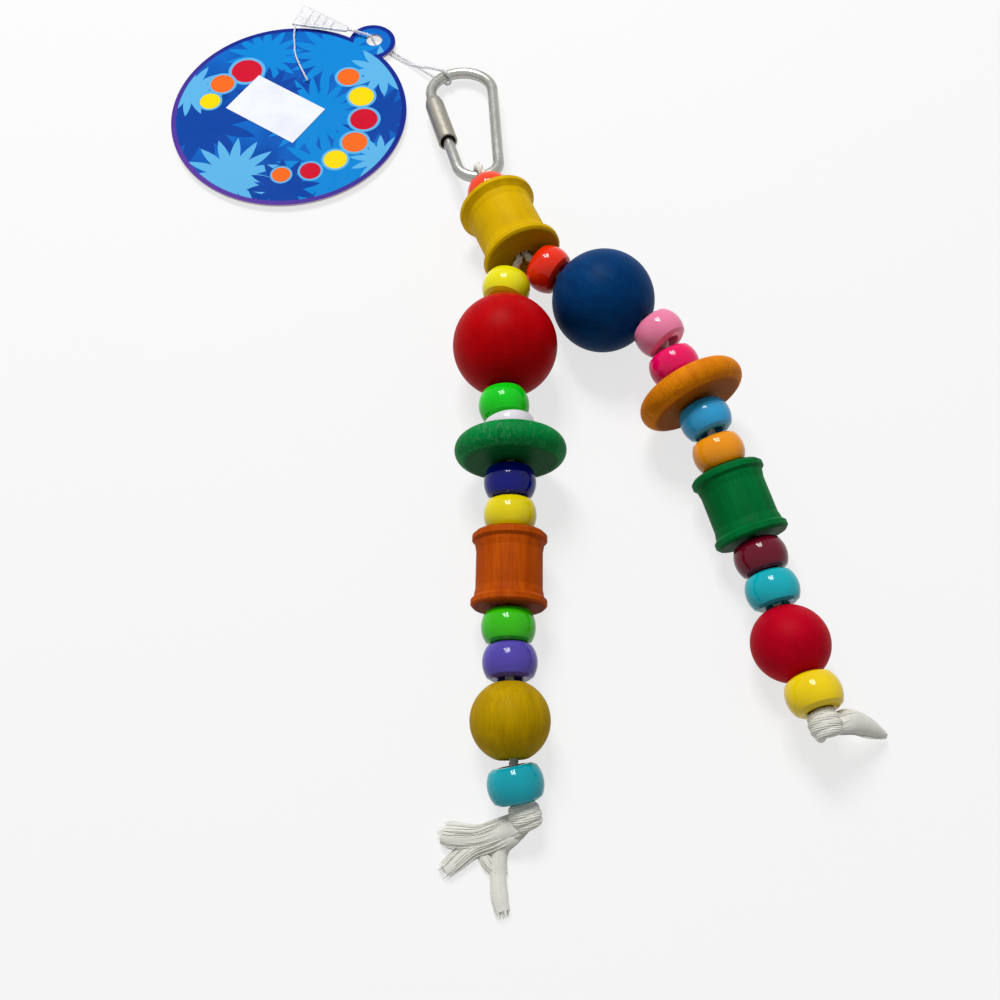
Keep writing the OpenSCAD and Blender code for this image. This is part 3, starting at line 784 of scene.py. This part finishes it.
bow = Vector(joints["eye_tilt"]["pos_m"])
along = Vector(joints["top_spool_spin"]["axis"])
across = -Vector(joints["eye_tilt"]["axis"])
trunkUp = along.cross(across)
trunkStart = Vector(joints["trunk_swing"]["pos_m"])
stringPieces = {
    "left": [
        "yellow_bead", "red_ball", "green_bead", "white_bead", "green_disc", "navy_bead",
        "gold_bead", "brown_spool", "lime_bead", "purple_bead", "olive_ball", "turquoise_bead",
    ],
    "right": [
        "scarlet_bead", "blue_ball", "pink_bead", "magenta_bead", "orange_disc", "sky_bead",
        "orange_bead", "green_spool", "maroon_bead", "teal_bead", "red_ball", "yellow_bead",
    ],
}
knotPlaces = {
    "left": Vector((12.232, -150.517, 3.375)) * mm,
    "right": Vector((58.435, -137.688, 9.0)) * mm,
}


def eyeRoute():
    arc = []
    for i in range(eyeSteps + 1):
        angle = math.radians(-eyeTaper + (180 + 2 * eyeTaper) * i / eyeSteps)
        arc.append(bow + eyeRadius * (trunkUp * math.cos(angle) - along * math.sin(angle)))
    reach = (trunkStart - bow).dot(along)
    near = [bow + along * eyeReach + trunkUp * pairOffset * side for side in (1, -1)]
    far = [bow + along * reach + trunkUp * pairOffset * side for side in (1, -1)]
    return [far[0], near[0]] + arc + [near[1], far[1]]


def trunkRoute(side):
    start = (trunkStart - bow).dot(along)
    end = (Vector(joints["left_swing"]["pos_m"]) - bow).dot(along)
    route = []
    for i in range(trunkSteps + 1):
        share = i / trunkSteps
        turn = math.radians(90 * (1 - share))
        beside = across * math.cos(turn) + trunkUp * math.sin(turn)
        down = along * (start + (end - start) * share)
        route.append(bow + down + beside * pairOffset * side)
    return route


def beadPlace(side, number):
    return Vector(joints[f"{side}_{stringPieces[side][number - 1]}_spin"]["pos_m"])


stretches = [
    # name of the cord, its first joint, the joint after it, and the beads that it runs through
    ("top", "swing", "splay", (1, 1)),
    ("ball", "splay", "lift", (2, 2)),
    ("middle", "lift", "bend", (3, 10)),
    ("low", "bend", "tip_lift", (11, 11)),
    ("tip", "tip_lift", None, (12, 12)),
]

eyeCord = growAlong("cotton_eye", eyeRoute(), laidCord, cordSettings)
settle(eyeCord, "eye", "cotton_cord", "cord_eye")
for side, sign in (("left", -1), ("right", 1)):
    piece = growAlong(f"cotton_trunk_{side}", trunkRoute(sign), laidCord, cordSettings)
    settle(piece, "trunk", "cotton_cord", *(["trunk_cord"] if side == "left" else []))
for side in ("left", "right"):
    for name, first, last, (low, high) in stretches:
        route = [Vector(joints[f"{side}_{first}"]["pos_m"])]
        route += [beadPlace(side, number) for number in range(low, high + 1)]
        if last:
            route.append(Vector(joints[f"{side}_{last}"]["pos_m"]))
        else:
            route.append(knotPlaces[side])
        piece = growAlong(f"cotton_{side}_{name}", route, laidCord, cordSettings)
        settle(piece, f"{side}_{name}_cord", "cotton_cord", f"{side}_cord_{name}")
print("cord laid")


# Knots and their frayed tails: each place in knot diameters from the knot's middle along X and
# Y, with the tail's radius there in cord radii, and its height as a share of the knot's own
knotSettings = {
    "diameter": 5.4 * mm,
    "cordRadius": 0.8 * mm,
    "turns": 3.6,
    "stepsPerTurn": 20,
    "coilRadius": 1.8 * mm,
    "coilLength": 3.3 * mm,
    "coilEnd": 0.72,  # radius of the first and last turn as a share of the middle one's
    "coilRound": 0.8,
    "shift": 0.25 * mm,
    "rootShare": 0.175,  # where the tails start, in diameters past the knot's middle
    "lieShare": 0.58,
    "wrap": {
        "Plies": 14,
        "Ply Radius": 0.15 * mm,
        "Lay Radius": 0.7 * mm,
        "Core Radius": 0.77 * mm,
        "Pitch": 18 * mm,
        "Step": 0.2 * mm,
        "Material": cotton,
    },
    "fray": {
        "Strands": 120,
        "Strand Radius": 0.075 * mm,
        "Twist": 0.9,
        "Waviness": 0.7 * mm,
        "Material": cotton,
    },
    "tails": {
        "left": [
            [
                (0.1, 0.0, 0.9, 1.1), (-0.25, -0.05, 2.3, 1.1), (-0.85, -0.2, 2.4, 0.55),
                (-1.5, -0.34, 2.4), (-2.2, -0.27, 2.6), (-2.6, -0.14, 1.8),
            ],
            [
                (0.05, -0.05, 0.7, 0.9), (-0.45, -0.3, 1.9, 0.75), (-0.95, -0.46, 2.0, 0.35),
                (-1.55, -0.64, 1.9), (-2.05, -0.98, 1.9), (-2.5, -1.36, 1.5),
            ],
            [
                (0.0, -0.1, 0.7, 1.0), (-0.4, -0.35, 1.5, 0.9), (-0.74, -0.65, 1.5, 0.35),
                (-0.84, -1.2, 1.6), (-0.8, -1.9, 1.7), (-0.66, -2.5, 1.4),
            ],
            [(-1.1, -0.5, 0.8), (-1.25, -0.8, 1.3), (-0.98, -1.22, 1.2), (-0.55, -1.28, 0.9)],
        ],
        "right": [
            [
                (-0.1, 0.1, 0.9, 1.0), (0.2, 0.2, 2.0, 1.0), (0.7, 0.33, 2.6, 0.9),
                (1.2, 0.34, 2.5, 0.66), (1.75, 0.26, 1.7, 0.38), (2.25, 0.18, 0.5, 0.12),
            ],
        ],
    },
}


def knotRoute(centre, way, settings):
    # the cord wound round itself, with the middle turns riding up over the outer ones
    turn = Vector(way).to_track_quat("Z", "Y").to_matrix()
    steps = int(settings["turns"] * settings["stepsPerTurn"])
    ends = settings["coilEnd"]
    route = []
    for i in range(steps + 1):
        share = i / steps
        angle = math.tau * settings["turns"] * share
        swell = math.sin(math.pi * share) ** settings["coilRound"]
        beside = settings["coilRadius"] * (ends + (1 - ends) * swell)
        lengthways = (share - 0.5) * settings["coilLength"]
        place = (math.cos(angle) * beside, math.sin(angle) * beside, lengthways)
        route.append(centre + turn @ Vector(place))
    return route


def tailRoute(centre, places, settings):
    route, spread = [], []
    for x, y, width, *height in places:
        radius = width * settings["cordRadius"]
        up = max(radius * settings["lieShare"], height[0] * centre.z if height else 0)
        beside = Vector((x, y, 0)) * settings["diameter"]
        route.append((centre.x + beside.x, centre.y + beside.y, up))
        spread.append(radius)
    return route, spread


def makeKnots(settings):
    for number, side in enumerate(("left", "right")):
        centre = knotPlaces[side]
        way = (centre - beadPlace(side, 12)).normalized()
        body = f"{side}_tip_cord"
        route = knotRoute(centre - way * settings["shift"], way, settings)
        knot = growAlong(f"cotton_{side}_knot", route, laidCord, settings["wrap"])
        settle(knot, body, "cotton_cord", f"{side}_knot")
        middle = centre + way * settings["diameter"] * settings["rootShare"]
        for count, places in enumerate(settings["tails"][side]):
            route, spread = tailRoute(middle, places, settings)
            values = dict(settings["fray"], Seed=11 * number + count)
            name = f"cotton_{side}_tail_{count + 1}"
            tail = growAlong(name, route, frayedTail, values, spread)
            settle(tail, body, "cotton_cord")


makeKnots(knotSettings)
print("knots tied")


# Clear plastic tie, with its points in millimetres
tieSettings = {
    "radius": 0.3 * mm,
    "tailRadius": 0.21 * mm,
    "route": [
        (-18.648, 16.973, 0.312), (-14.62, 13.926, 0.312), (-7.013, 7.91, 0.312),
        (-3.918, 5.306, 0.404), (-3.24, 4.793, 0.632), (-2.743, 4.418, 1.254),
        (-2.562, 4.28, 2.104), (-2.743, 4.418, 2.954), (-3.24, 4.793, 3.576),
        (-3.918, 5.306, 3.804), (-7.267, 7.575, 2.582), (-11.37, 10.521, 0.612),
        (-15.127, 13.256, 0.312), (-19.155, 16.303, 0.312), (-20.181, 17.29, 1.1),
        (-21.097, 18.088, 2.05), (-26.074, 19.941, 2.05),
    ],
    "tailRoute": [
        (-37.856, 21.237, 2.05), (-38.018, 19.479, 2.002), (-37.752, 16.19, 1.906),
        (-36.903, 11.421, 2.026), (-33.99, 4.712, 1.858),
    ],
    "core": 0.05 * mm,
    "step": 0.3 * mm,
    "gripTip": (-26.074, 19.941, 2.05),
    "gripWay": (-0.93069, 0.36582),
    "gripLength": 12.3 * mm,
    "gripWidths": (1.4 * mm, 6.4 * mm),
    "gripThickness": 0.9 * mm,
    "gripEdge": (0.11 * mm, 3),  # width and segments
    "plateShare": 0.31,
    "ridges": (0.3, 0.46, 0.62, 0.78),
    "ridgeHalf": 0.012,
    "ridgeWidth": 0.8,
    "ridgeShare": 0.36,
}
clearSettings = {
    "colours": (paint(240, 240, 244), paint(252, 252, 254)),
    "smudgeScale": 500.0,
    "tintRange": (0.35, 0.7),
    "roughness": (0.26, 0.4),
    "clearness": 0.5,
    "refraction": 1.3,
    "relief": 0.05,
    "bumpHeight": 0.2 * mm,
}


def clearMaterial(settings):
    material, tree, shader = newMaterial("clear_plastic")
    own = ownCoordinates(tree)
    marks = placeGroup(tree, handling, own, Scale=settings["smudgeScale"])
    smudge = marks["Smudge"]
    tint = blendColours(tree, stretch(tree, smudge, *settings["tintRange"]), *settings["colours"])
    plug(shader, "Base Color", tint)
    roughen(tree, shader, smudge, settings["roughness"])
    plug(shader, "Transmission Weight", settings["clearness"])
    plug(shader, "IOR", settings["refraction"])
    bump(tree, shader, smudge, settings["relief"], settings["bumpHeight"])
    return material


clearPlastic = clearMaterial(clearSettings)


def makeGrip(settings):
    # a flat wedge with a few shallow finger ridges
    tip = Vector(settings["gripTip"]) * mm
    way = Vector((*settings["gripWay"], 0)).normalized()
    sideways = Vector((-way.y, way.x, 0))
    narrow, wide = settings["gripWidths"]
    length, thickness = settings["gripLength"], settings["gripThickness"]
    shape = bmesh.new()

    def slab(first, last, widthShare, heightShare):
        # from and to as shares of the length, and the slab's size as shares of the wedge's
        corners = []
        for share in (first, last):
            width = (narrow + (wide - narrow) * share) * widthShare
            for side in (-1, 1):
                for up in (-heightShare, heightShare):
                    place = tip + way * length * share + sideways * side * width / 2
                    corners.append(shape.verts.new(place + Vector((0, 0, thickness * up))))
        a, b, c, d, e, f, g, h = corners
        for face in (
            (a, b, d, c), (e, g, h, f), (a, e, f, b), (c, d, h, g), (a, c, g, e), (b, f, h, d),
        ):
            shape.faces.new(face)

    slab(0, 1, 1, settings["plateShare"])
    half = settings["ridgeHalf"]
    for share in settings["ridges"]:
        slab(share - half, share + half, settings["ridgeWidth"], settings["ridgeShare"])
    bmesh.ops.recalc_face_normals(shape, faces=shape.faces)
    mesh = bpy.data.meshes.new("grip")
    shape.to_mesh(mesh)
    shape.free()
    mesh.materials.append(clearPlastic)
    rough = bpy.data.objects.new("grip_rough", mesh)
    bpy.context.scene.collection.objects.link(rough)
    bevel = rough.modifiers.new("edge", "BEVEL")
    bevel.width, bevel.segments = settings["gripEdge"]
    bpy.context.view_layer.update()
    settle(keepEvaluated("clear_grip", rough), "tie", "tie_plastic", "tie_grip")


def makeTie(settings):
    for name, key, radius, node in (
        ("clear_filament", "route", "radius", "tag_tie"),
        ("clear_tail", "tailRoute", "tailRadius", "tie_tail"),
    ):
        values = strand(settings[radius], settings["core"], settings["step"], clearPlastic)
        route = [Vector(point) * mm for point in settings[key]]
        settle(growAlong(name, route, laidCord, values), "tie", "tie_plastic", node)
    makeGrip(settings)


makeTie(tieSettings)
print("tie made")


# Threads under the sleeve
def makeThreads(settings):
    lean = math.radians(settings["lean"])
    down = Vector((math.sin(lean), -math.cos(lean), 0))
    beside = Vector((math.cos(lean), math.sin(lean), 0))
    start = -settings["topRadius"] * beside
    radius, core, step = (settings["thread" + part] for part in ("Radius", "Core", "Step"))
    values = strand(radius, core, step, metals["link_wire"])
    for number, (first, last) in enumerate(settings["threads"]):
        turns = (last - first) * mm / settings["threadPitch"]
        steps = int(turns * settings["threadSteps"])
        route = []
        for i in range(steps + 1):
            angle = math.tau * turns * i / steps
            place = start + down * (first + (last - first) * i / steps) * mm
            place += beside * math.cos(angle) * settings["wireRadius"]
            route.append(linkPlace(place.x, place.y, math.sin(angle) * settings["wireRadius"]))
        thread = growAlong(f"link_thread_{number + 1}", route, laidCord, values)
        settle(thread, "link", "link_metal")


makeThreads(linkSettings)
print("link dressed")


# Card tag: printed blue ground, board edge and a blank sticker
tagSettings = {
    "middle": (-37.259 * mm, -4.171 * mm, 0.85 * mm),
    "turn": 51.5,
    "radius": 25.3 * mm,
    "earPlace": 26.97 * mm,
    "earRadius": 5.2 * mm,
    "thickness": 0.5 * mm,
    "border": 1.0 * mm,
    "borderSoft": 1.1,
    "borderTurn": 0.3,  # where the border has become its far ink, in card radii
    "cloudScale": 60.0,
    "cloudRange": (0.35, 0.62),
    "dotRim": (1.22, 1.25),
    "dotSoft": 1.04,
    "burstSoft": 0.08 * mm,
    "burstDepth": 0.5,
    "burstTurn": 40.0,  # in half spikes, enough to keep the angle above zero
    "faceShares": (0.9, 0.95),
    "boardScale": 2600.0,
    "boardShade": 0.85,
    "smudgeScale": 180.0,
    "smudgeRange": (0.3, 0.7),
    "gloss": (0.42, 0.55),
    "edgeRoughness": 0.8,
    "faceRoughness": 0.3,
    "specular": 0.03,
    "warpScale": 90.0,
    "relief": 0.08,
    "bumpHeight": 0.3 * mm,
}
tagInks = {
    "ground": paint(0, 104, 198),
    "deep": paint(0, 66, 160),
    "sky": paint(0, 132, 212),
    "light": paint(92, 178, 228),
    "border": paint(12, 38, 138),
    "borderFar": paint(92, 58, 160),
    "board": paint(222, 204, 220),
    "red": paint(206, 10, 44),
    "orange": paint(242, 106, 28),
    "yellow": paint(250, 216, 0),
}
# printed dots: place on the card and size in card radii, ink
tagDots = [
    (0.62, -0.12, 0.095, "orange"), (0.52, -0.36, 0.105, "yellow"), (0.34, -0.55, 0.115, "red"),
    (0.1, -0.66, 0.105, "orange"), (-0.14, -0.66, 0.095, "yellow"), (-0.36, -0.58, 0.085, "red"),
    (-0.54, -0.42, 0.075, "orange"), (0.12, 0.62, 0.13, "red"), (-0.12, 0.68, 0.1, "orange"),
    (-0.33, 0.62, 0.085, "yellow"),
]
# spiky bursts in the ground: place and size in card radii, number of spikes, ink
tagBursts = [
    (-0.55, 0.5, 0.5, 13, "deep"), (0.75, 0.15, 0.42, 15, "sky"),
    (0.35, 0.62, 0.34, 14, "sky"), (-0.25, -0.72, 0.48, 17, "sky"),
    (0.45, -0.62, 0.36, 13, "deep"), (-0.8, -0.1, 0.4, 15, "light"),
    (-0.62, -0.52, 0.3, 12, "deep"), (0.12, -0.2, 0.46, 19, "sky"),
    (0.05, 0.3, 0.3, 13, "deep"), (-0.35, 0.85, 0.3, 14, "light"),
    (0.86, -0.3, 0.3, 12, "light"), (0.1, -0.95, 0.26, 13, "light"),
]


def burst(tree, flat, x, y, size, spikes, settings):
    radius = settings["radius"]
    away = vectors(tree, "SUBTRACT", flat, (x * radius, y * radius, 0.0))
    parts = partsOf(tree, away)
    angle = sums(tree, "ARCTAN2", parts["Y"], parts["X"])
    turned = sums(tree, "MULTIPLY_ADD", angle, spikes / math.pi, settings["burstTurn"])
    teeth = sums(tree, "PINGPONG", turned, 1.0)
    depth = settings["burstDepth"] * size * radius
    reach = sums(tree, "MULTIPLY_ADD", teeth, depth, size * radius - depth)
    past = sums(tree, "SUBTRACT", vectors(tree, "LENGTH", away, output="Value"), reach)
    return stretch(tree, past, 0.0, settings["burstSoft"], 1.0, 0.0)


def tagMaterial(settings, inks, dots, bursts):
    material, tree, shader = newMaterial("printed_card")
    radius = settings["radius"]
    own = ownCoordinates(tree, settings["middle"], (0, 0, math.radians(settings["turn"])))
    parts = partsOf(tree, own)
    flat = vectors(tree, "MULTIPLY", own, (1.0, 1.0, 0.0))

    def fromPlace(place):
        return vectors(tree, "LENGTH", vectors(tree, "SUBTRACT", flat, place), output="Value")

    fromMiddle = fromPlace((0.0, 0.0, 0.0))
    fromEar = fromPlace((settings["earPlace"], 0.0, 0.0))
    inside = sums(
        tree, "MAXIMUM",
        sums(tree, "SUBTRACT", radius, fromMiddle),
        sums(tree, "SUBTRACT", settings["earRadius"], fromEar),
    )
    clouds = noise(tree, flat, settings["cloudScale"], 2.0, 0.6)
    cloudy = stretch(tree, clouds, *settings["cloudRange"])
    ground = blendColours(tree, cloudy, inks["deep"], inks["ground"])
    for x, y, size, spikes, ink in bursts:
        spiky = burst(tree, flat, x, y, size, spikes, settings)
        ground = blendColours(tree, spiky, ground, inks[ink])
    for x, y, size, ink in dots:
        away = fromPlace((x * radius, y * radius, 0.0))
        edge = size * radius
        low, high = (edge * share for share in settings["dotRim"])
        rim = stretch(tree, away, low, high, 1.0, 0.0)
        ground = blendColours(tree, rim, ground, inks["light"])
        dot = stretch(tree, away, edge, edge * settings["dotSoft"], 1.0, 0.0)
        ground = blendColours(tree, dot, ground, inks[ink])
    far = stretch(tree, parts["X"], -radius, settings["borderTurn"] * radius)
    borderInk = blendColours(tree, far, inks["borderFar"], inks["border"])
    width = settings["border"]
    border = stretch(tree, inside, width, width * settings["borderSoft"], 1.0, 0.0)
    printed = blendColours(tree, border, ground, borderInk)
    # cut edge and back show the board
    low, high = (settings["thickness"] * share for share in settings["faceShares"])
    top = stretch(tree, parts["Z"], low, high)
    fibre = noise(tree, own, settings["boardScale"], 3.0, 0.7)
    board = blendColours(tree, fibre, darker(inks["board"], settings["boardShade"]), inks["board"])
    plug(shader, "Base Color", blendColours(tree, top, board, printed))
    marks = placeGroup(tree, handling, own, Scale=settings["smudgeScale"])
    gloss = stretch(tree, marks["Smudge"], *settings["smudgeRange"], *settings["gloss"])
    drop = settings["faceRoughness"] - settings["edgeRoughness"]
    rough = sums(tree, "MULTIPLY_ADD", top, drop, settings["edgeRoughness"])
    plug(shader, "Roughness", sums(tree, "MAXIMUM", gloss, rough))
    plug(shader, "Specular IOR Level", settings["specular"])
    height = sums(tree, "ADD", fibre, noise(tree, own, settings["warpScale"], 1.0))
    bump(tree, shader, height, settings["relief"], settings["bumpHeight"])
    return material


labelSettings = {
    "turn": -33,
    "paper": (paint(222, 226, 238), paint(236, 238, 246)),
    "smudge": paint(212, 218, 232),
    "fibreScale": 3000.0,
    "smudgeScale": 130.0,
    "smudgeRange": (0.4, 0.75),
    "roughness": (0.5, 0.65),
    "relief": 0.1,
    "bumpHeight": 0.1 * mm,
}


def labelMaterial(settings):
    material, tree, shader = newMaterial("blank_label")
    own = ownCoordinates(tree, tagSettings["middle"], (0, 0, math.radians(settings["turn"])))
    fibre = noise(tree, own, settings["fibreScale"], 3.0, 0.7)
    smudge = noise(tree, own, settings["smudgeScale"], 3.0, 0.6)
    smudge = stretch(tree, smudge, *settings["smudgeRange"])
    paper = blendColours(tree, fibre, *settings["paper"])
    plug(shader, "Base Color", blendColours(tree, smudge, paper, settings["smudge"]))
    roughen(tree, shader, fibre, settings["roughness"])
    bump(tree, shader, fibre, settings["relief"], settings["bumpHeight"])
    return material


dress("tag_card", tagMaterial(tagSettings, tagInks, tagDots, tagBursts))
dress("tag_label", labelMaterial(labelSettings))
print("tag printed")


# Table, lamp and surroundings
lightSettings = {
    "table": paint(232, 232, 232),
    "tableSize": 6,
    "speckleScale": 40.0,
    "speckleShade": 0.985,
    "tableShare": 0.72,  # how far a ray that looks at the table sees plain white
    "sky": 0.36,
    "panePower": 2.45,
    "paneSize": (0.1, 0.26),
    "panes": ((-0.19, 0.34, 0.62), (-0.05, 0.34, 0.62)),
}


def looking(tree):
    # camera rays, and those that a mirror or clear plastic sends on
    rays = addNode(tree, "ShaderNodeLightPath").outputs
    seen = sums(tree, "ADD", rays["Is Camera Ray"], rays["Is Glossy Ray"], clamp=True)
    return sums(tree, "ADD", seen, rays["Is Transmission Ray"], clamp=True)


def addStage(settings):
    bpy.ops.mesh.primitive_plane_add(size=settings["tableSize"], location=(0, 0, 0))
    table = bpy.context.object
    table.name = "table"
    material = bpy.data.materials.new("table")
    tree, output = emptyTree(material, "ShaderNodeOutputMaterial")
    place = addNode(tree, "ShaderNodeTexCoord").outputs["Object"]
    speckle = noise(tree, place, settings["speckleScale"], 2.0)
    shade = darker(settings["table"], settings["speckleShade"])
    tint = blendColours(tree, speckle, settings["table"], shade)
    share = sums(tree, "MULTIPLY", looking(tree), settings["tableShare"])
    mixed = follow(tree, "ShaderNodeMixShader", 0, share)
    plug(mixed, 1, follow(tree, "ShaderNodeBsdfDiffuse", "Color", tint))
    plug(mixed, 2, addNode(tree, "ShaderNodeEmission"))
    plug(output, "Surface", mixed)
    table.data.materials.append(material)
    table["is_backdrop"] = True

    for number, place in enumerate(settings["panes"]):
        name = f"pane_{number + 1}"
        lamp = bpy.data.objects.new(name, bpy.data.lights.new(name, "AREA"))
        lamp.data.shape = "RECTANGLE"
        lamp.data.size, lamp.data.size_y = settings["paneSize"]
        lamp.data.energy = settings["panePower"]
        lamp.location = place
        aim = Vector(cameraSettings["aim"]) - Vector(place)
        lamp.rotation_euler = aim.to_track_quat("-Z", "Y").to_euler()
        bpy.context.scene.collection.objects.link(lamp)

    world = bpy.data.worlds.new("room")
    bpy.context.scene.world = world
    tree, output = emptyTree(world, "ShaderNodeOutputWorld")
    strength = stretch(tree, looking(tree), 0.0, 1.0, settings["sky"], 1.0)
    plug(output, "Surface", follow(tree, "ShaderNodeBackground", "Strength", strength))


addStage(lightSettings)
bpy.context.scene.view_settings.view_transform = "Standard"
print("stage set")

low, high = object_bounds()
